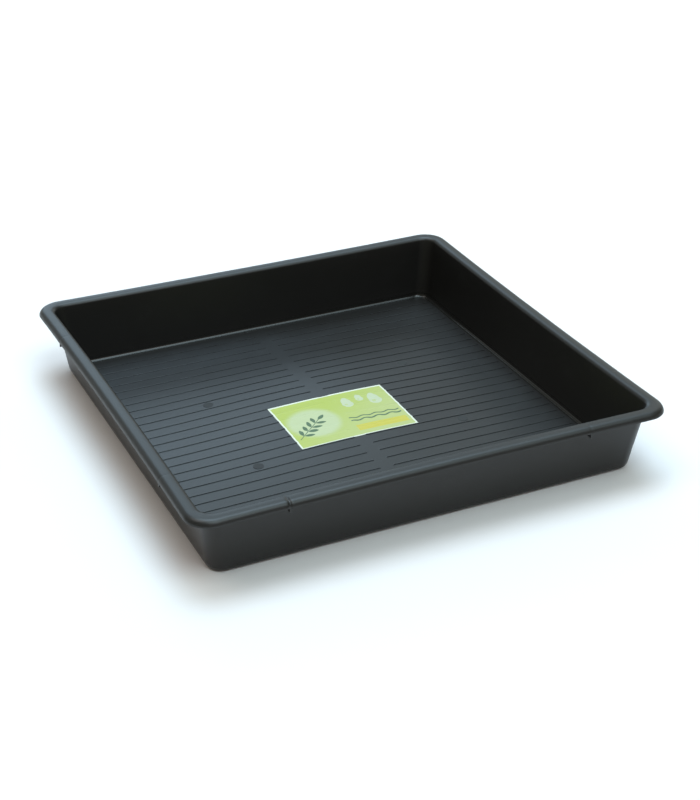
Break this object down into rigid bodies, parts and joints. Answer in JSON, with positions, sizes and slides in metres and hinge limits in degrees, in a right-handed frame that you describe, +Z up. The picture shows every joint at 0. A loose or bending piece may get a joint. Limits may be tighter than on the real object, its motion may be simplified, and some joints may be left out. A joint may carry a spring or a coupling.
{
  "type": "drip tray",
  "caption": "Square plastic drip tray with sloping walls, a rolled rim and a ribbed, slightly domed floor that carries a paper label; it stands under plant pots and catches their water.",
  "frame": {"origin": "on the ground, under the middle of the tray", "axes": "+Z up, X and Y along the sides, the ribs of the floor run along X, the side nearest the camera in the picture faces -Y"},
  "size_m": [0.8, 0.8, 0.116],
  "materials": {
    "black_plastic": "satin",
    "label_paper": "satin"
  },
  "bodies": {
    "root": {"tray": "black_plastic", "label": "label_paper"}
  },
  "joints": []
}
